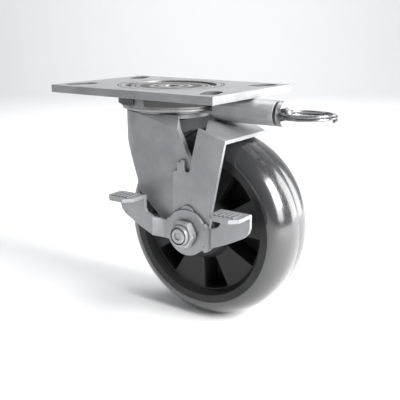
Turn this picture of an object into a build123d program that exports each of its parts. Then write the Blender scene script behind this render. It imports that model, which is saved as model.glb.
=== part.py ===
"""Swivel castor with a 4 1/2 x 6 1/4 in plate, a 6 x 2 in wheel, a rocker brake and a swivel lock.

Millimetres. Origin: swivel axis at the plate's top face. +X is the way the wheel trails,
+Y points away from the brake, +Z is up. The part is modelled unlocked and unbraked.
"""
import os
from math import cos, pi, radians, sin

from build123d import *

os.makedirs("parts", exist_ok=True)

# Clearances
run_fit = 0.05
slide_gap = 0.1
open_gap = 0.35

# Top plate
plate_x = 158.75
plate_y = 114.3
plate_t = 6.0
slot_x = 64.7
slot_y = 36.9
slot_angle = 71.6
slot_w = 14.0
slot_len = 27.0

# Swivel bearing
ball_r = 3.0
ball_n = 22
ball_pitch_r = 35.2
ball_z = (-4.6, -11.4)
ball_wall = 2.2
index_ring_r = 43.28
index_ring_low = -13.5
index_window_w = 12.4
index_window_drop = 1.2
upper_race_r = 41.0
upper_race_low = -15.4
inner_race_top = -1.0
inner_race_bore = 15.0
lip_ring_r = 40.0
lip_ring_top = -15.8
lip_ring_low = -17.6
rivet_r = 11.0
rivet_bore = 7.0
rivet_head_r = 19.0
rivet_head_t = 3.0
rivet_head_round = 1.5

# Fork
crown_top = -19.5
fork_t = 4.5
hub_gap = 5.0
fork_front_r = 31.5
leg_end_r = 16.8
web_cut_profile = [(-60.0, -36.0), (-36.6, -36.0), (-31.0, -38.6), (-26.5, -42.3), (-24.6, -44.6),
                   (-18.9, -51.7), (-12.8, -63.0), (-8.2, -72.9), (-4.8, -82.4)]
leg_front_profile = [(31.5, -19.5), (33.4, -29.3), (36.8, -35.5), (43.3, -49.4), (47.4, -58.5),
                     (54.0, -74.0)]
facet_start = (0.5, -21.3)
facet_end = (32.2, -29.0)
facet_top = (29.0, 4.0, -21.0)

# Axle and wheel
axle_x = 45.15
axle_z = -107.95
wheel_r = 76.2
tyre_half_w = 26.0
tyre_lip_r = 62.5
tyre_band_half_w = 4.9
rim_step = 2.0
rim_seat_w = 5.0
rim_face_w = 6.0
rim_face_round = 1.0
barrel_flare = 3.5
barrel_ledge = 0.6
barrel_depth = 1.6
spoke_face = 19.0
web_near = 1.0
web_t = 4.0
spoke_n = 6
spoke_angle = 34.4
spoke_first = 15.0
hub_r = 26.5
hub_end_r = 22.0
hub_bevel = 1.5
hub_half_w = 27.0
bearing_r = 17.5
bearing_w = 11.0
bearing_inset = 1.0
bearing_shoulder = 3.0
bearing_ball_r = 3.0
bearing_ball_n = 9
bearing_slot = 3.8
bolt_r = 6.35
sleeve_r = 7.5
bush_r = 7.9
nut_af = 19.05
nut_t = 7.0
nut_corner = 1.25
nut_collar_r = 7.9
nut_collar_t = 3.4
head_corner = 0.9
washer_r = 13.0
washer_t = 2.0
bolt_past_nut = 0.6
bolt_tip = 1.0
hub_washer_r = 10.6

# Brake. Outlines are in X and Z for the shoe, in X and Y for its roof, and from the axle for the lever.
shoe_t = 2.7
roof_high = (54.6, -26.6)
roof_low = (78.3, -33.4)
roof_corner_x = 58.0
shoe_front_profile = [(34.9, -54.6), (35.6, -53.9), (37.9, -53.9), (38.4, -52.4), (39.8, -51.5),
                      (41.0, -52.2), (41.4, -54.0), (41.4, -58.2), (42.2, -60.1), (44.0, -60.9),
                      (46.0, -60.3), (47.4, -58.0), (48.4, -50.6), roof_high, roof_low, (66.9, -88.0)]
shoe_rear_profile = [(30.3, -64.0), (30.9, -62.0), (32.6, -61.0), (34.9, -60.6)]
shoe_low_x = 47.2
shoe_low_r = 17.2
shoe_waist = 4.0
roof_near_profile = [(46.5, -14.5), (59.0, -35.8)]
roof_far_profile = [(78.0, 20.4), (66.6, 24.7), (46.5, 24.7)]
cam_e = 4.2
cam_wall = 1.0
cam_gap = 0.6
lever_t = 2.8
lever_disc_r = 18.2
lug_r = 6.2
lug_up = 15.2
lug_t = 1.5
joggle_in = 21.0
joggle_out = 27.9
joggle_step = 6.2
pad_in = 35.7
pad_out = 60.6
pad_reach = 19.7
pad_chamfer = 5.8
pad_bend_r = 1.5
pad_up = 26.1
arm_top_profile = [(pad_in, pad_up), (pad_in, 15.0), (34.0, 12.4), (joggle_out, 9.6), (joggle_in, 7.0),
                   (18.8, 7.7), (17.0, 9.8), (0, 9.8)]
arm_low_profile = [(0, -8.0), (joggle_in, -7.6), (joggle_out, -5.4), (41.5, 0.4), (49.0, 4.2),
                   (55.8, 7.8), (59.2, 11.3), (pad_out, 15.4), (pad_out, pad_up)]
arm_heel_profile = [(14.0, -10.5), (17.5, -12.9), (joggle_in, -11.2), (joggle_out, -5.6), (joggle_in, -5.0)]
pad_rib_n = 5
pad_rib_h = 0.7
pad_rib_w = 1.6
pad_rib_pitch = 3.6
pad_rib_edge = 4.5
pad_rib_root = 3.0

# Swivel lock
lock_z = -16.1
housing_r = 9.7
housing_flat = 9.0
housing_start = 46.5
housing_end = 99.6
housing_wall_end = 4.0
housing_bore = 6.6
flats_end = 95.5
lock_arm_half_w = 9.0
lock_arm_slot = 6.9
lock_plate_inset = 0.5
lock_slot_in = 4.0
plunger_gap = 0.6
plunger_head_r = 5.9
plunger_head_len = 16.0
plunger_rod_r = 3.2
lock_stroke = 2.2
knob_gap = 2.4
knob_t = 4.0
knob_slot = 4.6
knob_web = 0.9
eye_half_w = 2.2
eye_r = 4.4
eye_hole_r = 2.65
eye_gap = 1.1
ring_wire_r = 1.1
ring_r = 19.5
ring_pitch = 2.3
spring_wire_r = 0.7
spring_r = 4.9
spring_turns = 9

# Heights and offsets that follow from the values above
crown_low = crown_top - fork_t
rim_face_r = tyre_lip_r - rim_face_w
barrel_r = rim_face_r - barrel_flare
leg_in = hub_half_w + hub_gap
fork_half_w = leg_in + fork_t
lock_plate_r = fork_half_w - lock_plate_inset
shoe_in = fork_half_w + slide_gap
shoe_out = shoe_in + shoe_t
lever_in = shoe_out + 2 * slide_gap
lever_out = lever_in + lever_t
bush_end = lever_out + 2 * slide_gap
nut_front = bush_end + nut_t
nut_end = nut_front + nut_collar_t
arm_out = lever_out + joggle_step
arm_in = lever_in + joggle_step
cam_r = cam_e + bush_r + run_fit + cam_wall
arm_past = arm_out + pad_reach
plunger_tip = index_ring_r + plunger_gap
knob_start = housing_end + knob_gap
eye_x = knob_start + knob_web + ring_wire_r + eye_gap
wheel_bearing_pitch = (bearing_r + sleeve_r) / 2


def tube_z(r_out, r_in, top, low):
    """Upright ring about the swivel axis."""
    body = Pos(0, 0, (top + low) / 2) * Cylinder(r_out, top - low)
    if r_in:
        body -= Pos(0, 0, (top + low) / 2) * Cylinder(r_in, top - low + 2)
    return body


def rod_y(r, y0, y1, x=axle_x, z=axle_z):
    """Round bar along Y, on the axle unless told otherwise."""
    return Pos(x, (y0 + y1) / 2, z) * Rot(90, 0, 0) * Cylinder(r, abs(y1 - y0))


def rod_x(r, x0, x1, z=lock_z):
    """Round bar along X, on the lock's axis."""
    return Pos((x0 + x1) / 2, 0, z) * Rot(0, 90, 0) * Cylinder(r, abs(x1 - x0))


def block(x0, x1, y0, y1, z0, z1):
    """Box between two corners."""
    return Pos((x0 + x1) / 2, (y0 + y1) / 2, (z0 + z1) / 2) * Box(x1 - x0, y1 - y0, z1 - z0)


def plate_xz(points, y0, y1):
    """Flat plate with an outline in X and Z."""
    face = Face(Wire.make_polygon([(x, y0, z) for x, z in points], close=True))
    return extrude(face, amount=y1 - y0, dir=(0, 1, 0))


def plate_xy(points, z0, z1):
    """Flat plate with an outline in X and Y."""
    face = Face(Wire.make_polygon([(x, y, z0) for x, y in points], close=True))
    return extrude(face, amount=z1 - z0, dir=(0, 0, 1))


def arc_points(x, z, r, start, end, n=24):
    """Points along a circle, for an outline."""
    return [(x + r * cos(radians(start + (end - start) * i / n)),
             z + r * sin(radians(start + (end - start) * i / n))) for i in range(n + 1)]


def hex_y(af, y0, y1):
    """Hexagonal bar along Y on the axle, with a corner to +X and to -X."""
    r = af / 2 / cos(pi / 6)
    pts = [(axle_x + r * cos(k * pi / 3), axle_z + r * sin(k * pi / 3)) for k in range(6)]
    return plate_xz(pts, min(y0, y1), max(y0, y1))


def mirror_y(shape):
    """The same piece on the other side of the XZ plane."""
    return mirror(shape, about=Plane.XZ)


def ball_row(z, pitch, r, n):
    """Ring of separate balls about the swivel axis."""
    return [Pos(pitch * cos(2 * pi * i / n), pitch * sin(2 * pi * i / n), z) * Sphere(r) for i in range(n)]


def save(shape, name):
    """Write one node."""
    shapes = shape if isinstance(shape, list) else [shape]
    solids = [s for item in shapes for s in item.solids()]
    out = solids[0] if len(solids) == 1 else Compound(children=solids)
    export_step(out, f"parts/{name}.step")


# Top plate with four diagonal slots
def top_plate():
    body = block(-plate_x / 2, plate_x / 2, -plate_y / 2, plate_y / 2, -plate_t, 0)
    body -= tube_z(index_ring_r, 0, 1, -plate_t - 1)
    for sx in (1, -1):
        for sy in (1, -1):
            angle = slot_angle if sx * sy > 0 else -slot_angle
            outline = Rot(0, 0, angle) * SlotOverall(slot_len, slot_w)
            body -= extrude(Pos(sx * slot_x, sy * slot_y, -plate_t - 1) * outline, amount=plate_t + 2)
    return body


# Swivel bearing
def index_ring():
    body = tube_z(index_ring_r, upper_race_r, 0, index_ring_low)
    for a in range(4):
        cut = block(upper_race_r - 2, index_ring_r + 2, -index_window_w / 2, index_window_w / 2,
                    index_ring_low - 1, -plate_t - index_window_drop)
        body -= Rot(0, 0, 90 * a) * cut
    return body


def groove(z, r):
    """Ball groove as a solid to cut away."""
    return Pos(0, 0, z) * Torus(ball_pitch_r, r)


def upper_raceway():
    body = tube_z(upper_race_r, ball_pitch_r + ball_wall, 0, upper_race_low)
    for z in ball_z:
        body -= groove(z, ball_r + open_gap)
    return body


def inner_raceway():
    body = tube_z(ball_pitch_r - ball_wall, inner_race_bore, inner_race_top, lip_ring_low)
    for z in ball_z:
        body -= groove(z, ball_r)
    body -= tube_z(rivet_head_r, 0, inner_race_top + 1, inner_race_top - rivet_head_t)
    return body


def lip_ring():
    return tube_z(lip_ring_r, ball_pitch_r - ball_wall, lip_ring_top, lip_ring_low)


def swivel_rivet():
    body = tube_z(rivet_head_r, rivet_bore, inner_race_top, inner_race_top - rivet_head_t)
    body += tube_z(inner_race_bore, rivet_bore, inner_race_top - rivet_head_t, crown_low)
    body += tube_z(rivet_head_r, rivet_bore, crown_low, crown_low - rivet_head_t)
    top = [e for e in body.edges().filter_by(GeomType.CIRCLE) if abs(e.radius - rivet_head_r) < 0.01]
    low = [e for e in top if abs(e.center().Z - (crown_low - rivet_head_t)) < 0.01]
    return fillet(low, rivet_head_round)


# Fork: a crown, a half-round web behind it and two legs
def fork_shell(inset, top):
    """Block with the fork's plan outline, its walls moved in by the inset."""
    w = fork_half_w - inset
    low = axle_z - 40
    body = Pos(0, 0, (top + low) / 2) * Cylinder(w, top - low)
    body -= block(0, 100, -100, 100, low - 1, top + 1)
    body += block(0, 90, -w, w, low, top)
    ax, az = facet_start
    bx, bz = facet_end
    cx, dy, cz = facet_top
    a = Vector(ax, -fork_half_w, az)
    b = Vector(bx, -fork_half_w, bz)
    c = Vector(cx, -fork_half_w + dy, cz)
    normal = (b - a).cross(c - a).normalized()
    if normal.Z < 0:
        normal = normal * -1
    cutter = Plane(origin=a - normal * inset, x_dir=(b - a).normalized(), z_dir=normal) * Box(
        200, 200, 30, align=(Align.CENTER, Align.CENTER, Align.MIN))
    body -= cutter
    body -= mirror_y(cutter)
    return body


def fork():
    body = fork_shell(0, crown_top) - fork_shell(fork_t, crown_low)
    keep = [(-60, crown_top)] + leg_front_profile
    keep += arc_points(axle_x, axle_z, leg_end_r, 25, -160)
    keep += list(reversed(web_cut_profile))
    body = body & plate_xz(keep, -fork_half_w - 1, fork_half_w + 1)
    front = [(leg_front_profile[0][0], -leg_in)] + arc_points(0, 0, fork_front_r, -46, 46)
    front += [(leg_front_profile[0][0], leg_in), (60, leg_in), (60, -leg_in)]
    body -= plate_xy(front, crown_low - 9, crown_top + 1)
    body -= tube_z(inner_race_bore, 0, crown_top + 1, crown_low - 1)
    body -= rod_y(bolt_r + run_fit, -fork_half_w - 1, fork_half_w + 1)
    return body


# Wheel: a rim, a hub, a web between them and six spokes on each side of the web
def turned(points):
    """Solid of revolution about the axle from points in radius and width."""
    face = Face(Wire.make_polygon([(axle_x + r, y, axle_z) for r, y in points], close=True))
    return revolve(face, Axis((axle_x, 0, axle_z), (0, 1, 0)), 360)


def both_sides(half):
    """Closed outline in radius and width from its +Y half."""
    return half + [(r, -y) for r, y in reversed(half)]


def wheel_rim():
    return turned(both_sides([
        (barrel_r - barrel_ledge, spoke_face), (barrel_r, spoke_face),
        (rim_face_r - rim_face_round, tyre_half_w - barrel_depth), (rim_face_r, tyre_half_w),
        (tyre_lip_r, tyre_half_w), (tyre_lip_r - rim_step, tyre_half_w - rim_seat_w)]))


def wheel_hub():
    seat_end = hub_half_w - bearing_w - bearing_inset
    return turned(both_sides([
        (bearing_r - bearing_shoulder, seat_end), (bearing_r, seat_end), (bearing_r, hub_half_w),
        (hub_end_r, hub_half_w), (hub_end_r + hub_bevel, hub_half_w - hub_bevel), (hub_r, spoke_face)]))


def wheel_web():
    return disc_ring(web_near, web_near + web_t)


def disc_ring(y0, y1):
    """Flat ring between the hub and the rim."""
    r_out = barrel_r - barrel_ledge
    return turned([(hub_r, y0), (r_out, y0), (r_out, y1), (hub_r, y1)])


def wheel_spokes():
    spokes = []
    for k in range(spoke_n):
        angle = spoke_first + 360 / spoke_n * k
        wedge = [(axle_x, axle_z)] + arc_points(axle_x, axle_z, rim_face_r, angle - spoke_angle / 2,
                                                angle + spoke_angle / 2, 4)
        cutter = plate_xz(wedge, -hub_half_w, hub_half_w)
        spokes.append(disc_ring(-spoke_face, web_near) & cutter)
        spokes.append(disc_ring(web_near + web_t, spoke_face) & cutter)
    return spokes


def tyre():
    outer = []
    steps = 10
    for i in range(steps + 1):
        t = pi / 2 * i / steps
        y = tyre_half_w + (tyre_band_half_w - tyre_half_w) * (1 - cos(t))
        r = tyre_lip_r + (wheel_r - tyre_lip_r) * sin(t)
        outer.append((r, y))
    outer += [(r, -y) for r, y in reversed(outer)]
    seat = tyre_half_w - rim_seat_w
    inner = [(tyre_lip_r - rim_step, -seat), (tyre_lip_r - rim_step, seat)]
    start = Vector(axle_x + outer[0][0], outer[0][1], axle_z)
    right = Spline([(axle_x + r, y, axle_z) for r, y in outer[:steps + 1]],
                   tangents=[(1, 0, 0), (0, -1, 0)])
    band = Line(right @ 1, (axle_x + wheel_r, -tyre_band_half_w, axle_z))
    left = Spline([(axle_x + r, y, axle_z) for r, y in outer[steps + 1:]],
                  tangents=[(0, -1, 0), (-1, 0, 0)])
    floor = [Line(left @ 1, (axle_x + inner[0][0], inner[0][1], axle_z)),
             Line((axle_x + inner[0][0], inner[0][1], axle_z), (axle_x + inner[1][0], inner[1][1], axle_z)),
             Line((axle_x + inner[1][0], inner[1][1], axle_z), right @ 0)]
    face = make_face([right, band, left] + floor)
    return revolve(face, Axis((axle_x, 0, axle_z), (0, 1, 0)), 360)


def bearing_place(side):
    """Inner and outer Y of one wheel bearing."""
    outer = hub_half_w - bearing_inset
    return (side * (outer - bearing_w), side * outer)


def bearing_rings(r_out, r_in, groove_r):
    parts = []
    for side in (-1, 1):
        y0, y1 = bearing_place(side)
        ring = rod_y(r_out, y0, y1) - rod_y(r_in, y0 - side, y1 + side)
        mid = (y0 + y1) / 2
        ring -= Pos(axle_x, mid, axle_z) * Rot(90, 0, 0) * Torus(wheel_bearing_pitch, groove_r)
        parts.append(ring)
    return parts


def bearing_balls():
    parts = []
    for side in (-1, 1):
        mid = sum(bearing_place(side)) / 2
        for i in range(bearing_ball_n):
            a = 2 * pi * i / bearing_ball_n
            place = Pos(axle_x + wheel_bearing_pitch * cos(a), mid, axle_z + wheel_bearing_pitch * sin(a))
            parts.append(place * Sphere(bearing_ball_r))
    return parts


# Axle
def axle_sleeve():
    return rod_y(sleeve_r, -leg_in, leg_in) - rod_y(bolt_r + run_fit, -leg_in - 1, leg_in + 1)


def hub_washers():
    parts = []
    for side in (-1, 1):
        y0 = side * (hub_half_w - bearing_inset)
        y1 = side * leg_in
        parts.append(rod_y(hub_washer_r, y0, y1) - rod_y(sleeve_r, y0 - side, y1 + side))
    return parts


def axle_bolt():
    head_in = fork_half_w + washer_t
    end = -(nut_end + bolt_past_nut)
    body = rod_y(bolt_r, end, head_in)
    head = hex_y(nut_af, head_in, head_in + nut_t)
    body += head & rod_y(nut_af / 2 + head_corner, head_in, head_in + nut_t)
    tip = [e for e in body.edges().filter_by(GeomType.CIRCLE) if abs(e.center().Y - end) < 0.01]
    return chamfer(tip, bolt_tip)


def axle_nut():
    """Lock nut: a hexagon with a round collar in front, which stands clear of the bolt."""
    body = hex_y(nut_af, -bush_end, -nut_front) & rod_y(nut_af / 2 + nut_corner, -bush_end, -nut_front)
    body += rod_y(nut_collar_r, -nut_front, -nut_end)
    body -= rod_y(bolt_r + open_gap, -nut_front, -nut_end - 1)
    return body - rod_y(bolt_r, -bush_end + 1, -nut_front - 1)


def head_washer():
    bore = rod_y(bolt_r, fork_half_w - 1, fork_half_w + washer_t + 1)
    return rod_y(washer_r, fork_half_w, fork_half_w + washer_t) - bore


def lever_bush():
    return rod_y(bush_r, -fork_half_w, -bush_end) - rod_y(bolt_r, -fork_half_w + 1, -bush_end - 1)


# Brake shoe: a side plate that slides on the leg and a roof over the tread
def brake_shoe():
    side = shoe_front_profile + [(shoe_low_x + shoe_low_r, axle_z + shoe_waist)]
    side += arc_points(shoe_low_x, axle_z, shoe_low_r, 0, -180, 30)
    side += shoe_rear_profile
    body = plate_xz(side, -shoe_out, -shoe_in)
    body -= rod_y(cam_r + cam_gap, -shoe_out - 1, -shoe_in + 1, axle_x + cam_e)
    slope = (roof_low[1] - roof_high[1]) / (roof_low[0] - roof_high[0])
    start = roof_near_profile[0][0] - 2 * shoe_t
    end = roof_low[0] + 2 * shoe_t
    top = [(x, roof_high[1] + slope * (x - roof_high[0])) for x in (start, end)]
    section = top + [(x, z - shoe_t) for x, z in reversed(top)]
    roof = roof_near_profile + [(roof_corner_x, -shoe_out), (roof_low[0], -shoe_out)] + roof_far_profile
    prism = plate_xy(roof, roof_low[1] - 3 * shoe_t, roof_high[1] + 3 * shoe_t)
    body += prism & plate_xz(section, -shoe_out, shoe_out)
    return body - rod_x(housing_r + open_gap, start, end)


# Rocker lever: a flat centre, two stepped arms and two pads
def lever_band():
    outer = []
    inner = []
    end = pad_out + pad_reach
    for x in (-end, -joggle_out, -joggle_in, joggle_in, joggle_out, end):
        step = joggle_step if abs(x) >= joggle_out else 0
        outer.append((axle_x + x, -lever_out - step))
        inner.append((axle_x + x, -lever_in - step))
    return plate_xy(outer + list(reversed(inner)), axle_z - pad_out, axle_z + pad_out)


def lever_outline(points, side):
    """Block with an outline given from the axle, on the +X or -X side."""
    return plate_xz([(axle_x + side * x, axle_z + z) for x, z in points], -arm_past, -fork_half_w)


def brake_lever():
    outline = rod_y(lever_disc_r, -arm_past, -fork_half_w)
    for side in (-1, 1):
        outline += lever_outline(arm_top_profile + arm_low_profile, side)
    outline += lever_outline(arm_heel_profile, 1)
    body = outline & lever_band()
    body += rod_y(lug_r, -lever_in - lug_t, -lever_in, z=axle_z + lug_up)
    for side in (-1, 1):
        body += pad(side)
    bends = [e for e in body.edges() if abs(e.center().Y + arm_in) < 0.01
             and abs(e.center().Z - axle_z - pad_up) < 0.01]
    body = fillet(bends, pad_bend_r)
    return body - rod_y(bush_r + run_fit, -arm_past, -fork_half_w)


def pad(side):
    """One foot pad, in plan a rectangle with its two outer corners cut."""
    corner = -arm_past + pad_chamfer
    pts = [(pad_in, -arm_in), (pad_in, corner), (pad_in + pad_chamfer, -arm_past),
           (pad_out - pad_chamfer, -arm_past), (pad_out, corner), (pad_out, -arm_in)]
    return plate_xy([(axle_x + side * x, y) for x, y in pts], axle_z + pad_up - lever_t, axle_z + pad_up)


def pad_ribs():
    parts = []
    z = axle_z + pad_up
    for side in (-1, 1):
        mid = axle_x + side * (pad_in + pad_out) / 2
        for k in range(pad_rib_n):
            x = mid + (k - (pad_rib_n - 1) / 2) * pad_rib_pitch
            parts.append(block(x - pad_rib_w / 2, x + pad_rib_w / 2, -arm_past + pad_rib_edge,
                               -arm_out - pad_rib_root, z, z + pad_rib_h))
    return parts


def brake_cam():
    body = rod_y(cam_r, -lever_in, -fork_half_w - 2 * slide_gap, axle_x + cam_e)
    return body - rod_y(bush_r + run_fit, -lever_in - 1, -fork_half_w)


# Swivel lock
def lock_housing():
    body = rod_x(housing_r, housing_start, housing_end)
    wide = housing_r + 1
    flat = block(housing_start - 1, flats_end, housing_flat, wide, lock_z - wide, lock_z + wide)
    body -= flat
    body -= mirror_y(flat)
    arms = block(lock_plate_r - lock_slot_in, housing_start, -lock_arm_half_w, lock_arm_half_w,
                 crown_top, lip_ring_low)
    body += tube_z(lock_plate_r, inner_race_bore, lip_ring_low, crown_top) + arms
    body -= block(plunger_tip - lock_slot_in, housing_start + 1, -lock_arm_slot, lock_arm_slot,
                  lock_z - housing_flat, lock_z + housing_flat)
    body -= rod_x(housing_bore, lock_plate_r, housing_end - housing_wall_end)
    body -= rod_x(plunger_rod_r + run_fit, housing_start, housing_end + 1)
    return body


def lock_plunger():
    body = rod_x(plunger_head_r, plunger_tip, plunger_tip + plunger_head_len)
    body += rod_x(plunger_rod_r, plunger_tip + plunger_head_len, knob_start)
    return body


def pull_knob():
    body = rod_x(housing_r, knob_start, knob_start + knob_t)
    slot_in = knob_start + knob_web
    slot_end = knob_start + knob_t + 1
    body -= block(slot_in, slot_end, -2 * housing_r, 2 * housing_r, lock_z - knob_slot, lock_z + knob_slot)
    eye = rod_y(eye_r, -eye_half_w, eye_half_w, eye_x, lock_z)
    eye = eye & block(slot_in, eye_x + eye_r, -eye_half_w, eye_half_w, lock_z - eye_r, lock_z + eye_r)
    body += eye + block(slot_in, eye_x, -eye_half_w, eye_half_w, lock_z - eye_r, lock_z + eye_r)
    return body - rod_y(eye_hole_r, -eye_r, eye_r, eye_x, lock_z)


def lock_spring():
    start = plunger_tip + plunger_head_len
    length = housing_end - housing_wall_end - start
    travel = length - 2 * (spring_wire_r + slide_gap)
    path = Helix(travel / spring_turns, travel, spring_r)
    coil = sweep(Plane(path @ 0, z_dir=path % 0) * Circle(spring_wire_r), path, is_frenet=True)
    return Pos(start + spring_wire_r + slide_gap, 0, lock_z) * Rot(0, 90, 0) * coil


def pull_ring():
    path = Helix(ring_pitch, 2 * ring_pitch, ring_r)
    coil = sweep(Plane(path @ 0, z_dir=path % 0) * Circle(ring_wire_r), path, is_frenet=True)
    return Pos(eye_x + ring_r, 0, lock_z - ring_pitch) * coil


def build_all():
    save(top_plate(), "top_plate")
    save(index_ring(), "index_ring")
    save(upper_raceway(), "upper_raceway")
    save(inner_raceway(), "inner_raceway")
    save(ball_row(ball_z[0], ball_pitch_r, ball_r, ball_n), "upper_balls")
    save(ball_row(ball_z[1], ball_pitch_r, ball_r, ball_n), "lower_balls")
    save(lip_ring(), "lip_ring")
    save(swivel_rivet(), "swivel_rivet")
    save(fork(), "fork")
    save(wheel_rim(), "wheel_rim")
    save(wheel_hub(), "wheel_hub")
    save(wheel_web(), "wheel_web")
    save(wheel_spokes(), "wheel_spokes")
    save(tyre(), "tyre")
    slot = bearing_slot / 2
    outer = bearing_rings(bearing_r, wheel_bearing_pitch + slot, bearing_ball_r)
    inner = bearing_rings(wheel_bearing_pitch - slot, sleeve_r, bearing_ball_r + open_gap)
    save(outer, "bearing_outer_rings")
    save(inner, "bearing_inner_rings")
    save(bearing_balls(), "bearing_balls")
    save(axle_sleeve(), "axle_sleeve")
    save(hub_washers(), "hub_washers")
    save(axle_bolt(), "axle_bolt")
    save(axle_nut(), "axle_nut")
    save(head_washer(), "head_washer")
    save(lever_bush(), "lever_bush")
    save(brake_shoe(), "brake_shoe")
    save(brake_lever(), "brake_lever")
    save(brake_cam(), "brake_cam")
    save(pad_ribs(), "pad_ribs")
    save(lock_housing(), "lock_housing")
    save(lock_plunger(), "lock_plunger")
    save(pull_knob(), "pull_knob")
    save(lock_spring(), "lock_spring")
    save(pull_ring(), "pull_ring")


build_all()
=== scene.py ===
from math import cos, pi, radians, sin, tan

import bmesh
import bpy
from mathutils import Matrix, Vector


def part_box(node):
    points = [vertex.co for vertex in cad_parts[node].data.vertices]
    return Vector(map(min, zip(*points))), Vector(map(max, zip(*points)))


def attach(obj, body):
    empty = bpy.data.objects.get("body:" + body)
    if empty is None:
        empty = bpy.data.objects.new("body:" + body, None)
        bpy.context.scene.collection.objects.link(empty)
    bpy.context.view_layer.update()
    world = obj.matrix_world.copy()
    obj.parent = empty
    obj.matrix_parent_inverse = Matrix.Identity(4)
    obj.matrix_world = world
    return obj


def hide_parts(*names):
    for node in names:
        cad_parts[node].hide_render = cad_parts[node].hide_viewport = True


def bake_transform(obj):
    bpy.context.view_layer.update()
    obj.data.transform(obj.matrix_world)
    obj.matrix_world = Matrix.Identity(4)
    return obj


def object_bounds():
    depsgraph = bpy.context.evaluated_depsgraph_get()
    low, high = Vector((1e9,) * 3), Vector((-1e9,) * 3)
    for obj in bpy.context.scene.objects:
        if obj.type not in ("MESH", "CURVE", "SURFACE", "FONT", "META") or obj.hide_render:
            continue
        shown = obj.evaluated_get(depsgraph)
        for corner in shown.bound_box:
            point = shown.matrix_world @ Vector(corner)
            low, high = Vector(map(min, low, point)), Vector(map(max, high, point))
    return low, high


bl_info = {
    "name": "Swivel castor",
    "version": (1, 0, 0),
    "blender": (4, 5, 0),
    "location": "3D View > Sidebar > Castor",
    "description": "Dresses a swivel castor with a rocker brake and a swivel lock",
    "category": "Object",
}

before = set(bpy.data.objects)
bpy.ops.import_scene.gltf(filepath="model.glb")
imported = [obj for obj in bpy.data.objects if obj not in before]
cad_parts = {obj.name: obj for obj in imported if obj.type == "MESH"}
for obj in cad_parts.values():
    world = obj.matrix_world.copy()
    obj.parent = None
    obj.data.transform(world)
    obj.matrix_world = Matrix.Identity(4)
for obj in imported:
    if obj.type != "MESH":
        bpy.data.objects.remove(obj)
cad_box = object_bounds()


# Settings
class CastorSizes(bpy.types.PropertyGroup):
    axle_place: bpy.props.FloatVectorProperty(
        name="Axle", description="Where the axle crosses the middle of the wheel",
        size=3, default=(0.04515, 0.0, -0.10795), subtype="TRANSLATION", unit="LENGTH")
    tread_radius: bpy.props.FloatProperty(
        name="Tread radius", description="Wheel radius at the running band", default=0.0762, unit="LENGTH")
    tread_lip_radius: bpy.props.FloatProperty(
        name="Tread lip radius", description="Where the tread meets the wheel's rim", default=0.0625,
        unit="LENGTH")
    tread_half_width: bpy.props.FloatProperty(
        name="Tread half width", description="Half the tread's width at its lip", default=0.026,
        unit="LENGTH")
    band_half_width: bpy.props.FloatProperty(
        name="Running band half width", description="Half the flat running band", default=0.0049,
        unit="LENGTH")
    nut_across_flats: bpy.props.FloatProperty(
        name="Nut across flats", description="Size of the axle's nut and bolt head", default=0.01905,
        unit="LENGTH")
    bolt_radius: bpy.props.FloatProperty(
        name="Bolt radius", description="Outside of the axle bolt's thread", default=0.00635, unit="LENGTH")
    nut_height: bpy.props.FloatProperty(
        name="Nut height", description="Thickness of the nut's hexagon", default=0.007, unit="LENGTH")
    collar_radius: bpy.props.FloatProperty(
        name="Nut collar radius", description="Round collar in front of the nut's hexagon", default=0.0079,
        unit="LENGTH")
    thread_pitch: bpy.props.FloatProperty(
        name="Thread pitch", description="Distance between two thread crests", default=0.00127, unit="LENGTH")
    ball_radius: bpy.props.FloatProperty(
        name="Ball radius", description="Balls of the swivel bearing", default=0.003, unit="LENGTH")
    ball_count: bpy.props.IntProperty(
        name="Balls in a row", description="Balls in each row of the swivel bearing", default=22, min=3)
    ring_radius: bpy.props.FloatProperty(
        name="Pull ring radius", description="Middle of the wire", default=0.0195, unit="LENGTH")
    ring_turns: bpy.props.IntProperty(
        name="Pull ring turns", description="Turns of the split ring", default=2, min=1)
    spring_wire: bpy.props.FloatProperty(
        name="Spring wire radius", description="Half the lock spring's wire", default=0.0007, unit="LENGTH")
    spring_turns: bpy.props.IntProperty(
        name="Spring turns", description="Turns of the lock spring", default=9, min=1)
    ring_wire: bpy.props.FloatProperty(
        name="Pull ring wire radius", description="Half the wire's thickness", default=0.0011, unit="LENGTH")
    edge_round: bpy.props.FloatProperty(
        name="Edge rounding", description="Radius that light sees on a pressed edge", default=0.00045,
        unit="LENGTH")


def colour(label, words, value):
    return bpy.props.FloatVectorProperty(
        name=label, description=words, size=3, default=value, min=0.0, max=1.0, subtype="COLOR")


class CastorColours(bpy.types.PropertyGroup):
    plate: colour("Plate zinc", "Zinc plating on the top plate", (0.345, 0.349, 0.357))
    sheet: colour("Sheet zinc", "Zinc plating on the fork and the pull knob", (0.36, 0.364, 0.372))
    brake: colour("Brake zinc", "Zinc plating on the shoe and the lever", (0.37, 0.374, 0.382))
    turned: colour("Turned steel", "Bare turned steel of raceways, rivet, bearings and plunger",
                   (0.42, 0.42, 0.425))
    bright: colour("Bright steel", "Polished balls", (0.46, 0.46, 0.465))
    wire: colour("Wire steel", "Split ring and spring", (0.27, 0.27, 0.275))
    # Lighter than the sheet zinc; on the index ring and the lock housing, which lie in the plate's shade, it
    # is painted light.
    hardware: colour("Hardware zinc", "Zinc on the nut, bolt, washers, index ring, lip and lock housing",
                     (0.50, 0.50, 0.505))
    wheel: colour("Wheel body", "Dark moulded wheel body", (0.020, 0.020, 0.0212))
    tread: colour("Tread", "Cast polyurethane tread", (0.032, 0.032, 0.0335))
    # Also the colour of painted shade in corners, seams and on the walls of openings.
    grime_and_painted_shade: colour("Grime", "Oil and dust held in corners", (0.045, 0.042, 0.038))


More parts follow.
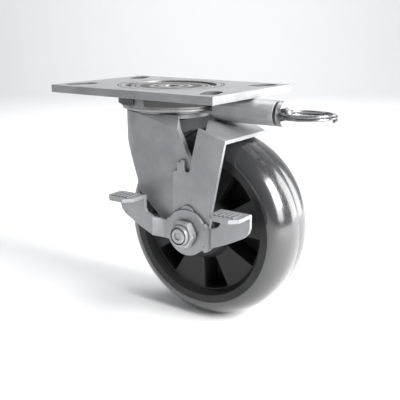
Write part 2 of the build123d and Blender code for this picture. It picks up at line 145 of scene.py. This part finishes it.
class CastorStage(bpy.types.PropertyGroup):
    floor: colour("Floor", "Pale studio floor", (0.93, 0.93, 0.93))
    key_power: bpy.props.FloatProperty(
        name="Key light", description="Low soft light on the faces that look along the trail", default=4.5,
        unit="POWER")
    rim_power: bpy.props.FloatProperty(
        name="Rim light", description="Low light behind the wheel, for the tread's bright edge", default=6.5,
        unit="POWER")
    slant_power: bpy.props.FloatProperty(
        name="Slant light", description="Soft main light from high up on the trail side", default=24.0,
        unit="POWER")
    top_power: bpy.props.FloatProperty(
        name="Top light", description="Soft light overhead that falls behind", default=19.0, unit="POWER")
    fill_power: bpy.props.FloatProperty(
        name="Fill light", description="Weak light from the brake's side", default=1.3, unit="POWER")
    air_strength: bpy.props.FloatProperty(
        name="Air", description="Even light from all round", default=0.22, min=0.0)
    lens: bpy.props.FloatProperty(
        name="Lens", description="Focal length on a 36 mm sensor", default=0.05892, unit="CAMERA")


# Shader maths
class Term:
    """A shader value that can be added, multiplied and compared like a number."""

    def __init__(self, kit, socket):
        self.kit = kit
        self.socket = socket

    def _math(self, operation, first, second):
        return self.kit.node("ShaderNodeMath", {"operation": operation}, {0: first, 1: second})

    def __add__(self, other):
        return self._math("ADD", self, other)

    __radd__ = __add__

    def __sub__(self, other):
        return self._math("SUBTRACT", self, other)

    def __rsub__(self, other):
        return self._math("SUBTRACT", other, self)

    def __mul__(self, other):
        return self._math("MULTIPLY", self, other)

    __rmul__ = __mul__

    def __pow__(self, other):
        return self._math("POWER", self, other)

    def __rpow__(self, other):
        return self._math("POWER", other, self)

    def larger(self, other):
        return self._math("MAXIMUM", self, other)

    def step(self, low, high):
        """0 below low, 1 above high, smooth between."""
        return self.kit.node("ShaderNodeMapRange", {"interpolation_type": "SMOOTHSTEP"},
                             {"Value": self, "From Min": low, "From Max": high})


class Kit:
    """Node tree of one finish."""

    def __init__(self, name):
        self.material = bpy.data.materials.new(name)
        self.material.use_nodes = True
        self.tree = self.material.node_tree
        self.shader = self.tree.nodes["Principled BSDF"]

    def node(self, kind, settings=None, ends=None, out=0):
        """Adds a node with its settings, then its values and links, and gives one of its outputs."""
        made = self.tree.nodes.new(kind)
        for key, value in (settings or {}).items():
            setattr(made, key, value)
        for key, value in (ends or {}).items():
            self.join(made.inputs[key], value)
        return Term(self, made.outputs[out])

    def join(self, socket, value):
        """Links a value to a socket, or sets it."""
        if isinstance(value, Term):
            self.tree.links.new(value.socket, socket)
        elif socket.type == "RGBA" and len(value) == 3:
            socket.default_value = (*value, 1.0)
        else:
            socket.default_value = value

    def spot(self):
        """Object coordinates, so a pattern stays on its piece."""
        return self.node("ShaderNodeTexCoord", out=3)

    def place(self, stretch=(1, 1, 1)):
        """Object coordinates, stretched."""
        return self.node("ShaderNodeMapping", None, {"Vector": self.spot(), "Scale": stretch})

    def split(self, vector):
        """The three parts of a vector."""
        parts = self.node("ShaderNodeSeparateXYZ", None, {0: vector}).socket.node
        return [Term(self, parts.outputs[i]) for i in range(3)]

    def noise(self, scale, detail, rough, stretch=(1, 1, 1)):
        return self.node("ShaderNodeTexNoise", None, {
            "Vector": self.place(stretch), "Scale": scale, "Detail": detail, "Roughness": rough})

    def mix(self, factor, first, second):
        """Colour mix. The colours are the node's sockets 6 and 7, its result is output 2."""
        return self.node("ShaderNodeMix", {"data_type": "RGBA"}, {0: factor, 6: first, 7: second}, out=2)

    def edges(self, radius):
        """1 where two faces meet at an edge, 0 on the flat."""
        soft = self.node("ShaderNodeBevel", {"samples": 4}, {"Radius": radius})
        flat = self.node("ShaderNodeNewGeometry", out=1)
        same = self.node("ShaderNodeVectorMath", {"operation": "DOT_PRODUCT"}, {0: soft, 1: flat}, out=1)
        return (1 - same).step(0.01, 0.22)

    def corners(self, reach):
        """1 deep in a corner, 0 in the open."""
        open_air = self.node("ShaderNodeAmbientOcclusion", {"samples": 6}, {"Distance": reach}, out=1)
        return (1 - open_air).step(0.12, 0.52)

    def ring_line(self, radius, half):
        """1 on a circle about the swivel axis, 0 away from it."""
        x, y, _ = self.split(self.spot())
        off = (x * x + y * y) ** 0.5 - radius
        return 1 - ((off * off) ** 0.5).step(half * 0.6, half)

    def punched(self, half_x, half_y):
        """1 on upright faces inside a rectangle about the swivel axis: the walls of punched openings."""
        x, y, _ = self.split(self.spot())
        up = self.split(self.node("ShaderNodeNewGeometry", out=1))[2]
        beyond_x = (x * x).step(half_x ** 2 * 0.98, half_x ** 2)
        beyond_y = (y * y).step(half_y ** 2 * 0.98, half_y ** 2)
        return (1 - beyond_x) * (1 - beyond_y) * (1 - (up * up).step(0.2, 0.6))

    def surface(self, tint, roughness, metallic=0.0):
        """Sets what changes over the surface."""
        for key, value in (("Base Color", tint), ("Roughness", roughness), ("Metallic", metallic)):
            self.join(self.shader.inputs[key], value)

    def relief(self, height, strength, depth, round_edges=0.0):
        """Bump, on top of edges that look rounded."""
        ends = {"Height": height, "Strength": strength, "Distance": depth}
        if round_edges:
            ends["Normal"] = self.node("ShaderNodeBevel", {"samples": 6}, {"Radius": round_edges})
        self.join(self.shader.inputs["Normal"], self.node("ShaderNodeBump", None, ends))

    def fixed(self, **values):
        """Sets the shader's sockets that stay the same all over."""
        for key, value in values.items():
            self.join(self.shader.inputs[key.replace("_", " ")], value)


# Finishes
SEAM_HALF = 0.0010              # half the painted line of shade in a seam
DUST = (0.20, 0.19, 0.18)       # colour of dust on the wheel body
SCUFF_DEPTH = 0.0035            # how far below the running band the scuffs start
SCUFF_DEPTH_FULL = 0.0004       # and where they are full


def looks():
    return bpy.context.scene.castor_colours


def sizes():
    return bpy.context.scene.castor_sizes


def shade(base, factor, lift=0.0):
    """A colour made lighter or darker."""
    return tuple(min(1.0, c * factor + lift) for c in base)


def zinc(name, base, grain=(1, 1, 14), rough=0.36, reach=0.0042, seams=(), openings=None):
    """Bright zinc plating: cloudy, faintly brushed, with a painted highlight on edges, and grime with painted
    shade in corners and seams.
    """
    kit = Kit(name)
    cloud = kit.noise(scale=46.0, detail=4.0, rough=0.6)
    bloom = kit.noise(scale=190.0, detail=3.0, rough=0.65)
    brushed = kit.noise(scale=420.0, detail=2.0, rough=0.5, stretch=grain)
    edge = kit.edges(sizes().edge_round * 1.6)
    # Painted shade, with some grime: darker in corners, in seams and on the walls of openings.
    painted_shade_and_grime = kit.corners(reach) * (0.65 + 0.35 * bloom)
    for radius in seams:
        painted_shade_and_grime = painted_shade_and_grime.larger(kit.ring_line(radius, SEAM_HALF))
    if openings:
        painted_shade_and_grime = painted_shade_and_grime.larger(kit.punched(*openings))
    tone = kit.mix(cloud.step(0.32, 0.70), shade(base, 0.90), shade(base, 1.08, 0.01))
    warm = kit.mix(bloom.step(0.52, 0.78) * 0.30, tone, (base[0] * 1.02, base[1] * 0.99, base[2] * 0.90))
    # Painted highlight: edges are mixed towards a lighter copy of the zinc.
    edge_highlight = kit.mix(edge * 0.55, warm, shade(base, 1.55))
    kit.surface(kit.mix(painted_shade_and_grime * 0.85, edge_highlight, tuple(looks().grime_and_painted_shade)),
                rough + 0.12 * cloud + 0.08 * brushed + 0.20 * painted_shade_and_grime - 0.10 * edge, 0.52 - 0.30 * painted_shade_and_grime)
    kit.relief(0.7 * brushed + 0.5 * bloom, strength=0.22, depth=0.00008,
               round_edges=sizes().edge_round)
    return kit.material


def turned_steel(name, base, rough=0.28, lines=900.0, greased=()):
    """Bare turned steel: fine rings from the tool, a film of oil, grease on rings (radius, half width), grime
    with painted shade in corners.
    """
    kit = Kit(name)
    rings = kit.node("ShaderNodeTexWave", {"wave_type": "RINGS", "rings_direction": "Z"},
                     {"Vector": kit.place(), "Scale": lines, "Distortion": 0.6, "Detail": 2.0}, out=1)
    film = kit.noise(scale=60.0, detail=4.0, rough=0.6)
    # Painted shade, with some grime: darker in corners.
    painted_shade_and_grime = kit.corners(0.004)
    for radius, half in greased:
        painted_shade_and_grime = painted_shade_and_grime.larger(kit.ring_line(radius, half))
    tone = kit.mix(film.step(0.35, 0.7), shade(base, 0.78), shade(base, 1.12))
    kit.surface(kit.mix(painted_shade_and_grime * 0.85, tone, tuple(looks().grime_and_painted_shade)),
                rough + 0.10 * film + 0.06 * rings + 0.25 * painted_shade_and_grime, 1 - 0.6 * painted_shade_and_grime)
    kit.relief(rings, strength=0.12, depth=0.00005, round_edges=sizes().edge_round * 0.8)
    return kit.material


def bright_steel(name, base, rough=0.14):
    """Polished wire and balls with light handling marks, and grime with painted shade in corners."""
    kit = Kit(name)
    marks = kit.noise(scale=240.0, detail=4.0, rough=0.7)
    # Painted shade, with some grime: darker in corners.
    painted_shade_and_grime = kit.corners(0.003)
    tone = kit.mix(marks.step(0.4, 0.75) * 0.35, base, shade(base, 0.7))
    kit.surface(kit.mix(painted_shade_and_grime * 0.8, tone, tuple(looks().grime_and_painted_shade)), rough + 0.14 * marks + 0.3 * painted_shade_and_grime, 1.0)
    kit.relief(marks, strength=0.05, depth=0.00003)
    return kit.material


def moulded(name, base):
    """Dark glass-filled plastic: fine flow marks, sheen on edges."""
    kit = Kit(name)
    flow = kit.noise(scale=26.0, detail=4.0, rough=0.6, stretch=(1, 3, 1))
    fine = kit.noise(scale=1400.0, detail=2.0, rough=0.5)
    edge = kit.edges(0.0009)
    dust = kit.corners(0.008) * flow.step(0.40, 0.72)
    tone = kit.mix(flow.step(0.35, 0.7), shade(base, 0.80), shade(base, 1.30, 0.004))
    # Painted highlight: edges are mixed towards a lighter copy of the plastic.
    edge_highlight = kit.mix(edge * 0.35, tone, shade(base, 3.0))
    kit.surface(kit.mix(dust * 0.22, edge_highlight, DUST), 0.30 + 0.12 * flow + 0.05 * fine + 0.15 * dust)
    kit.fixed(IOR=1.40)
    kit.relief(fine + 0.6 * flow, strength=0.10, depth=0.00005, round_edges=0.0007)
    return kit.material


def cast_tread(name, base):
    """Glossy cast polyurethane: soft shine, faint scuffs round the running band."""
    kit = Kit(name)
    wheel = kit.node("ShaderNodeVectorMath", {"operation": "SUBTRACT"},
                     {0: kit.spot(), 1: tuple(sizes().axle_place)})
    x, _, z = kit.split(wheel)
    radius = (x * x + z * z) ** 0.5
    band = radius.step(sizes().tread_radius - SCUFF_DEPTH, sizes().tread_radius - SCUFF_DEPTH_FULL)
    cloud = kit.noise(scale=22.0, detail=4.0, rough=0.6)
    speck = kit.noise(scale=700.0, detail=3.0, rough=0.6)
    scuff = band * kit.noise(scale=260.0, detail=4.0, rough=0.7, stretch=(1, 5, 1)).step(0.46, 0.70)
    tone = kit.mix(cloud.step(0.3, 0.72), shade(base, 0.86), shade(base, 1.16))
    kit.surface(kit.mix(scuff * 0.35, tone, shade(base, 2.1)),
                0.16 + 0.08 * cloud + 0.04 * speck + 0.20 * scuff)
    kit.fixed(IOR=1.60, Coat_Weight=1.0, Coat_Roughness=0.13, Coat_IOR=1.65)
    kit.relief(0.5 * speck + scuff, strength=0.10, depth=0.00008)
    return kit.material


# Mesh helpers
def add_mesh(name, verts, faces, smooth_angle):
    """New mesh object, with edges sharp where two faces turn by more than an angle in degrees."""
    mesh = bpy.data.meshes.new(name)
    mesh.from_pydata([tuple(v) for v in verts], [], faces)
    mesh.validate()
    built = bmesh.new()
    built.from_mesh(mesh)
    bmesh.ops.recalc_face_normals(built, faces=built.faces)
    for edge in built.edges:
        edge.smooth = len(edge.link_faces) != 2 or edge.calc_face_angle(0.0) < radians(smooth_angle)
    for face in built.faces:
        face.smooth = True
    built.to_mesh(mesh)
    built.free()
    thing = bpy.data.objects.new(name, mesh)
    bpy.context.scene.collection.objects.link(thing)
    return thing


def about(axle, radius, turn, y):
    """Point at a radius and an angle about an axle along Y."""
    return (axle[0] + radius * cos(turn), y, axle[2] + radius * sin(turn))


def turns(around):
    """Angles of a full turn in equal steps."""
    return [2 * pi * i / around for i in range(around)]


def bands(rows, columns, closed=False):
    """Faces between rows of points. Each row closes on itself; closed joins the last row to the first."""
    return [(k * columns + i, k * columns + (i + 1) % columns,
             (k + 1) % rows * columns + (i + 1) % columns, (k + 1) % rows * columns + i)
            for k in range(rows if closed else rows - 1) for i in range(columns)]


def lathe(name, profile, axle, around):
    """Turned piece about an axle along Y, from a closed outline in radius and width."""
    verts = [about(axle, r, a, axle[1] + y) for a in turns(around) for r, y in profile]
    return add_mesh(name, verts, bands(around, len(profile), True), smooth_angle=40.0)


HEX_FACE_SHARE = 0.955          # width of the round face, as a share of the width across flats
HEX_TURN_DOWN = radians(30)     # slope of the turned-down corners
HEX_BACK_SHARE = 0.6            # how far they are turned down at the back, as a share of the front
BORE_EDGE = 0.0006              # bevel at the bore's mouth
HEAD_MARK = 0.0002              # radius of the mark in the middle of a solid head


def hex_head(name, axle, y_in, y_out, flats, bore, around=144):
    """Hexagonal nut or head with its corners turned down at the outer face."""
    out = 1 if y_out > y_in else -1
    height = abs(y_out - y_in)
    face = flats / 2 * HEX_FACE_SHARE
    mouth = bore + BORE_EDGE if bore else HEAD_MARK
    verts = []
    for a in turns(around):
        full = flats / 2 / cos(a % (pi / 3) - pi / 6)
        down = max(0.0, full - face) * tan(HEX_TURN_DOWN)
        row = [(bore, 0.0), (face, 0.0), (full, down * HEX_BACK_SHARE), (full, height - down),
               (face, height), (mouth, height), (bore, height - BORE_EDGE)]
        verts += [about(axle, r, a, y_in + out * y) for r, y in row]
    return add_mesh(name, verts, bands(around, len(row), True), smooth_angle=28.0)


THREAD_DEPTH = 0.0006
THREAD_STEPS = 8                # rows of points in one pitch
THREAD_CREST = 1.3              # over 1 flattens the crests
TIP_SHARE = 0.82                # radius of the chamfered tip, as a share of the bolt's
TIP_SLOPE = 0.9
CENTRE_MARK = ((0.50, 0.0), (0.45, 0.16), (0.36, 0.17))     # radius and depth, as shares of the bolt's radius


def threaded_bolt(name, axle, y_head, y_thread, y_tip, radius, pitch, around=64):
    """Bolt along Y: a smooth shank, a helical thread, a chamfered tip and a turned centre mark."""
    out = 1 if y_tip > y_head else -1
    smooth = abs(y_thread - y_head)
    threaded = abs(y_tip - y_thread)
    steps = int(threaded / pitch * THREAD_STEPS)
    verts = []
    for s in [0.0, smooth] + [smooth + threaded * (k + 1) / steps for k in range(steps)]:
        for i, a in enumerate(turns(around)):
            crest = 1 - abs(2 * ((s / pitch - i / around) % 1.0) - 1)
            cut = THREAD_DEPTH - THREAD_DEPTH * min(1.0, THREAD_CREST * crest) if s > smooth else 0.0
            r = min(radius - cut, radius * TIP_SHARE + (smooth + threaded - s) * TIP_SLOPE)
            verts.append(about(axle, r, a, y_head + out * s))
    for wide, deep in CENTRE_MARK:
        verts += [about(axle, radius * wide, a, y_tip - out * radius * deep) for a in turns(around)]
    rows = len(verts) // around
    faces = bands(rows, around)
    verts += [(axle[0], y_tip - out * radius * CENTRE_MARK[-1][1], axle[2]), (axle[0], y_head, axle[2])]
    last = (rows - 1) * around
    faces += [(last + i, last + (i + 1) % around, len(verts) - 2) for i in range(around)]
    faces += [((i + 1) % around, i, len(verts) - 1) for i in range(around)]
    return add_mesh(name, verts, faces, smooth_angle=32.0)


def tube_along(name, points, radius, around, coil_axis):
    """Round wire that winds about an axis through points, with closed ends."""
    verts = []
    count = len(points)
    for k, p in enumerate(points):
        ahead = (points[min(k + 1, count - 1)] - points[max(k - 1, 0)]).normalized()
        side = ahead.cross(Vector(coil_axis)).normalized()
        up = side.cross(ahead).normalized()
        verts += [p + radius * (cos(a) * side + sin(a) * up) for a in turns(around)]
    faces = bands(count, around)
    faces.append(tuple(reversed(range(around))))
    faces.append(tuple((count - 1) * around + i for i in range(around)))
    return add_mesh(name, verts, faces, smooth_angle=60.0)


def winding(count, steps):
    """Share of the way and angle at each point of a coil, with steps points in a turn."""
    total = count * steps
    return [(k / total, 2 * pi * count * k / total) for k in range(total + 1)]


def dress(names, finish):
    """Gives CAD nodes a finish."""
    for name in names:
        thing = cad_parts[name]
        thing.data.materials.clear()
        thing.data.materials.append(finish)


def piece(thing, finish, body, replaced=()):
    """Puts a finish on a new piece and ties it to its body."""
    thing.data.materials.append(finish)
    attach(thing, body)
    if replaced:
        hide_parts(*replaced)


# Operators
PLATE_MARGIN = 0.005            # the slots lie this far inside the plate's edges


class CASTOR_OT_plate(bpy.types.Operator):
    """Finish the top plate and the index ring"""
    bl_idname = "castor.plate"
    bl_label = "Top plate"

    def execute(self, context):
        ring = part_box("index_ring")[1].x
        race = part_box("upper_raceway")[1].x
        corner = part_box("top_plate")[1]
        # The walls of these slots get painted shade.
        slots = (corner.x - PLATE_MARGIN, corner.y - PLATE_MARGIN)
        dress(["top_plate"], zinc("plate_zinc", tuple(looks().plate), (14, 1, 1), reach=0.009, seams=(ring,),
                                  openings=slots))
        # The lighter hardware zinc on the index ring is painted light against the plate's shade.
        dress(["index_ring"], zinc("index_zinc", tuple(looks().hardware), (1, 1, 1), seams=(ring, race)))
        return {"FINISHED"}


RIVET_HEAD = 0.019              # radius of the rivet's head
RIVET_GREASE = ((RIVET_HEAD, 0.0016), (0.0125, 0.0024))
RACE_GREASE = ((RIVET_HEAD + 0.0035, 0.0042), (0.0295, 0.0009), (0.0340, 0.0009))


class CASTOR_OT_swivel(bpy.types.Operator):
    """Finish the raceways, the rivet and the lip, and build the polished balls"""
    bl_idname = "castor.swivel"
    bl_label = "Swivel bearing"

    def execute(self, context):
        s = sizes()
        turned = tuple(looks().turned)
        dress(["upper_raceway"], turned_steel("race_steel", turned))
        dress(["inner_raceway"], turned_steel("inner_race_steel", shade(turned, 0.8), greased=RACE_GREASE))
        polished = bright_steel("ball_steel", tuple(looks().bright))
        for row in ("upper_balls", "lower_balls"):
            low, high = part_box(row)
            height = (low.z + high.z) / 2
            pitch = (high.x - low.x) / 2 - s.ball_radius
            verts = []
            faces = []
            for a in turns(s.ball_count):
                centre = Vector((pitch * cos(a), pitch * sin(a), height))
                ball = bmesh.new()
                bmesh.ops.create_uvsphere(ball, u_segments=20, v_segments=12, radius=s.ball_radius)
                start = len(verts)
                verts += [v.co + centre for v in ball.verts]
                faces += [tuple(start + v.index for v in f.verts) for f in ball.faces]
                ball.free()
            balls = add_mesh("polished_" + row, verts, faces, smooth_angle=60.0)
            piece(balls, polished, "swivel", (row,))
        dress(["swivel_rivet"], turned_steel("rivet_steel", turned, 0.30, 700.0, RIVET_GREASE))
        dress(["lip_ring"], zinc("lip_zinc", tuple(looks().hardware), (1, 1, 1), rough=0.30))
        return {"FINISHED"}


class CASTOR_OT_fork(bpy.types.Operator):
    """Finish the fork"""
    bl_idname = "castor.fork"
    bl_label = "Fork"

    def execute(self, context):
        dress(["fork"], zinc("fork_zinc", tuple(looks().sheet), (1, 1, 12)))
        return {"FINISHED"}


class CASTOR_OT_wheel(bpy.types.Operator):
    """Finish the moulded wheel body, the bearings, the sleeve, the lever's bush and the cam"""
    bl_idname = "castor.wheel"
    bl_label = "Wheel body"

    def execute(self, context):
        plastic = moulded("wheel_plastic", tuple(looks().wheel))
        dress(["wheel_rim", "wheel_hub", "wheel_web", "wheel_spokes"], plastic)
        steel = turned_steel("bearing_steel_rings", tuple(looks().turned), 0.24, 1200.0)
        dress(["bearing_outer_rings", "bearing_inner_rings", "axle_sleeve", "lever_bush", "brake_cam"], steel)
        dress(["bearing_balls"], bright_steel("small_ball_steel", tuple(looks().bright)))
        return {"FINISHED"}


TREAD_STEPS = 26                # points on one round shoulder
TREAD_LIP = ((0.002, 0.005), (0.0002, 0.0004), (-0.0001, 0.0))      # in from the lip's radius and width
PARTING_HALF = 0.0007           # the parting line: half its width, the slope of its sides, its depth
PARTING_SLOPE = 0.0003
PARTING_DEPTH = 0.00005


class CASTOR_OT_tread(bpy.types.Operator):
    """Build the cast tread with its round shoulders, lip and parting line"""
    bl_idname = "castor.tread"
    bl_label = "Tread"

    def execute(self, context):
        s = sizes()
        edge, wide, top = s.tread_lip_radius, s.tread_half_width, s.tread_radius
        shoulder = [(edge + (top - edge) * sin(t), wide + (s.band_half_width - wide) * (1 - cos(t)))
                    for t in (pi / 2 * i / TREAD_STEPS for i in range(1, TREAD_STEPS + 1))]
        half = [(edge - r, wide - y) for r, y in TREAD_LIP] + shoulder
        half += [(top, PARTING_HALF), (top - PARTING_DEPTH, PARTING_HALF - PARTING_SLOPE)]
        profile = half + [(r, -y) for r, y in reversed(half)]
        tread = lathe("cast_tread", profile, s.axle_place, 240)
        piece(tread, cast_tread("tread_urethane", tuple(looks().tread)), "wheel", ("tyre",))
        return {"FINISHED"}


NUT_PLAY = 0.00005              # room between the bolt and the nut's hexagon
COLLAR_PLAY = 0.0005            # and between the bolt and the nut's collar
COLLAR_SUNK = 0.0004            # how far the collar reaches into the hexagon
COLLAR_EDGE = ((0.0, 0.0007), (0.0003, 0.0002), (0.0006, 0.0))      # rounding, in from radius and face
COLLAR_MOUTH = (0.0003, 0.0004)
HEAD_COVER = 0.001              # the shank ends this far inside the head
THREAD_INSIDE = 0.002           # the thread starts this far inside the nut


class CASTOR_OT_axle(bpy.types.Operator):
    """Build the axle's nut with its collar, its threaded bolt and the bolt's head, and finish the washers"""
    bl_idname = "castor.axle"
    bl_label = "Axle hardware"

    def execute(self, context):
        s = sizes()
        plated = zinc("hardware_zinc", tuple(looks().hardware), (1, 1, 1), rough=0.30)
        front, back = (corner.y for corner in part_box("axle_nut"))
        tip, head_top = (corner.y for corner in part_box("axle_bolt"))
        washer_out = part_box("head_washer")[1].y
        face = back - s.nut_height
        nut = hex_head("axle_nut_skin", s.axle_place, back, face, s.nut_across_flats,
                       s.bolt_radius + NUT_PLAY)
        piece(nut, plated, "swivel", ("axle_nut",))
        bore, wide = s.bolt_radius + COLLAR_PLAY, s.collar_radius
        outline = [(bore, face + COLLAR_SUNK), (wide, face + COLLAR_SUNK)]
        outline += [(wide - r, front + y) for r, y in COLLAR_EDGE]
        outline += [(bore + COLLAR_MOUTH[0], front), (bore, front + COLLAR_MOUTH[1])]
        piece(lathe("nut_collar", outline, s.axle_place, 96), plated, "swivel")
        shank = threaded_bolt("axle_bolt_skin", s.axle_place, washer_out + HEAD_COVER, back - THREAD_INSIDE,
                              tip, s.bolt_radius, s.thread_pitch)
        piece(shank, plated, "swivel", ("axle_bolt",))
        head = hex_head("bolt_head_skin", s.axle_place, washer_out, head_top, s.nut_across_flats, 0.0)
        piece(head, plated, "swivel")
        dress(["head_washer", "hub_washers"], plated)
        return {"FINISHED"}


class CASTOR_OT_brake(bpy.types.Operator):
    """Finish the brake shoe, the lever and its pads' ribs"""
    bl_idname = "castor.brake"
    bl_label = "Brake"

    def execute(self, context):
        dress(["brake_shoe"], zinc("shoe_zinc", tuple(looks().brake), (1, 1, 12)))
        dress(["brake_lever", "pad_ribs"], zinc("lever_zinc", tuple(looks().brake), (12, 1, 1)))
        return {"FINISHED"}


class CASTOR_OT_lock(bpy.types.Operator):
    """Finish the swivel lock and build its spring and its split ring"""
    bl_idname = "castor.lock"
    bl_label = "Swivel lock"

    def execute(self, context):
        s = sizes()
        # The lighter hardware zinc on the housing is painted light against the plate's shade.
        dress(["lock_housing"], zinc("housing_zinc", tuple(looks().hardware), (1, 14, 14)))
        dress(["lock_plunger"], turned_steel("plunger_steel", tuple(looks().turned)))
        dress(["pull_knob"], zinc("knob_zinc", tuple(looks().sheet), (1, 1, 1), rough=0.28))
        wire = bright_steel("wire_steel", tuple(looks().wire), 0.20)
        low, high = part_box("lock_spring")
        middle = (low + high) / 2
        coil = (high.z - low.z) / 2 - s.spring_wire
        start, end = low.x + s.spring_wire, high.x - s.spring_wire
        points = [Vector((start + (end - start) * share, middle.y + coil * sin(a), middle.z + coil * cos(a)))
                  for share, a in winding(s.spring_turns, 32)]
        spring = tube_along("spring_coil", points, s.spring_wire, 10, (1, 0, 0))
        spring.data.materials.append(wire)
        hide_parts("lock_spring")
        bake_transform(spring)
        low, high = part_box("pull_ring")
        middle = (low + high) / 2
        rise = (high.z - low.z) - 2 * s.ring_wire
        points = [middle + Vector((s.ring_radius * cos(a), s.ring_radius * sin(a), rise * (share - 0.5)))
                  for share, a in winding(s.ring_turns, 96)]
        ring = tube_along("split_ring", points, s.ring_wire, 14, (0, 0, 1))
        piece(ring, wire, "ring", ("pull_ring",))
        return {"FINISHED"}


FLOOR_NEAR, FLOOR_FAR, FLOOR_HALF = -3.0, 1.6, 4.0      # the floor along and across the view
SWEEP_RADIUS, SWEEP_STEPS = 0.8, 12                     # it bends up into a wall
WALL_TOP = 3.0
VIEW_AZIMUTH = 35.0             # the floor is square to this view
AIR_TINT = (0.93, 0.95, 1.0, 1.0)
SENSOR = 36.0                   # millimetres
CAMERA_PLACE = (0.3305, -0.4305, 0.0497)
CAMERA_AZIMUTH, CAMERA_ELEVATION = 35.02, 15.25         # as fitted to the photograph


def softbox(name, place, aim, size, power):
    """Soft rectangular light that the camera doesn't see."""
    data = bpy.data.lights.new(name, "AREA")
    data.shape = "RECTANGLE"
    data.size, data.size_y = size
    data.energy = power
    lamp = bpy.data.objects.new(name, data)
    lamp.location = place
    lamp.rotation_euler = (Vector(aim) - Vector(place)).to_track_quat("-Z", "Y").to_euler()
    lamp.visible_camera = False
    bpy.context.scene.collection.objects.link(lamp)


class CASTOR_OT_stage(bpy.types.Operator):
    """Build the pale floor, the soft lights and the camera"""
    bl_idname = "castor.stage"
    bl_label = "Stage"

    def execute(self, context):
        stage = context.scene.castor_stage
        arc = [pi / 2 * i / SWEEP_STEPS for i in range(SWEEP_STEPS + 1)]
        rows = [(FLOOR_NEAR, 0.0)]
        rows += [(FLOOR_FAR + SWEEP_RADIUS * sin(t), SWEEP_RADIUS * (1 - cos(t))) for t in arc]
        rows += [(FLOOR_FAR + SWEEP_RADIUS, WALL_TOP)]
        turn = Matrix.Rotation(radians(VIEW_AZIMUTH), 3, "Z")
        base = Vector((0, 0, cad_box[0][2]))
        verts = [turn @ Vector((side, along, up)) + base
                 for along, up in rows for side in (-FLOOR_HALF, FLOOR_HALF)]
        faces = [(2 * i, 2 * i + 1, 2 * i + 3, 2 * i + 2) for i in range(len(rows) - 1)]
        floor = add_mesh("studio_floor", verts, faces, smooth_angle=80.0)
        paper = Kit("studio_paper")
        grain = paper.noise(scale=9.0, detail=3.0, rough=0.5)
        pale = tuple(stage.floor)
        paper.surface(paper.mix(grain, shade(pale, 0.985), pale), 0.85)
        floor.data.materials.append(paper.material)
        for name, place, aim, size, power in (
                ("key_light", (1.15, -0.12, 0.20), (0.04, 0.0, -0.08), (0.5, 0.5), stage.key_power),
                ("slant_light", (1.05, 0.0, 0.48), (0.04, 0.0, -0.06), (0.5, 0.55), stage.slant_power),
                ("rim_light", (0.80, 0.95, 0.18), (0.05, 0.0, -0.09), (0.5, 0.9), stage.rim_power),
                ("top_light", (-0.20, 0.55, 1.10), (-0.75, 1.35, -0.10), (1.1, 1.1), stage.top_power),
                ("fill_light", (-0.61, -0.76, 0.49), (0.0, 0.0, -0.04), (0.5, 0.5), stage.fill_power)):
            softbox(name, place, aim, size, power)
        world = bpy.data.worlds.new("studio_air")
        world.use_nodes = True
        air = world.node_tree.nodes["Background"]
        air.inputs["Color"].default_value = AIR_TINT
        air.inputs["Strength"].default_value = stage.air_strength
        context.scene.world = world
        data = bpy.data.cameras.new("camera")
        data.sensor_width = SENSOR
        data.lens = stage.lens * 1000.0
        data.clip_start = 0.01
        camera = bpy.data.objects.new("camera", data)
        camera.location = CAMERA_PLACE
        camera.rotation_euler = (radians(90.0 - CAMERA_ELEVATION), 0.0, radians(CAMERA_AZIMUTH))
        context.scene.collection.objects.link(camera)
        context.scene.camera = camera
        context.scene.view_settings.view_transform = "Standard"
        return {"FINISHED"}


PIECES = (CASTOR_OT_plate, CASTOR_OT_swivel, CASTOR_OT_fork, CASTOR_OT_wheel, CASTOR_OT_tread, CASTOR_OT_axle,
          CASTOR_OT_brake, CASTOR_OT_lock, CASTOR_OT_stage)


class CASTOR_PT_panel(bpy.types.Panel):
    """Castor pieces and settings"""
    bl_idname = "CASTOR_PT_panel"
    bl_label = "Castor"
    bl_space_type = "VIEW_3D"
    bl_region_type = "UI"
    bl_category = "Castor"

    def draw(self, context):
        for group in (context.scene.castor_sizes, context.scene.castor_colours, context.scene.castor_stage):
            box = self.layout.box()
            for key in group.bl_rna.properties.keys():
                if key not in ("rna_type", "name"):
                    box.prop(group, key)
        for made in PIECES:
            self.layout.operator(made.bl_idname)


CLASSES = (CastorSizes, CastorColours, CastorStage, *PIECES, CASTOR_PT_panel)


def register():
    for made in CLASSES:
        bpy.utils.register_class(made)
    bpy.types.Scene.castor_sizes = bpy.props.PointerProperty(type=CastorSizes)
    bpy.types.Scene.castor_colours = bpy.props.PointerProperty(type=CastorColours)
    bpy.types.Scene.castor_stage = bpy.props.PointerProperty(type=CastorStage)


def unregister():
    del bpy.types.Scene.castor_stage
    del bpy.types.Scene.castor_colours
    del bpy.types.Scene.castor_sizes
    for made in reversed(CLASSES):
        bpy.utils.unregister_class(made)


def main():
    register()
    for made in PIECES:
        group, name = made.bl_idname.split(".")
        getattr(getattr(bpy.ops, group), name)()


if __name__ == "__main__":
    main()
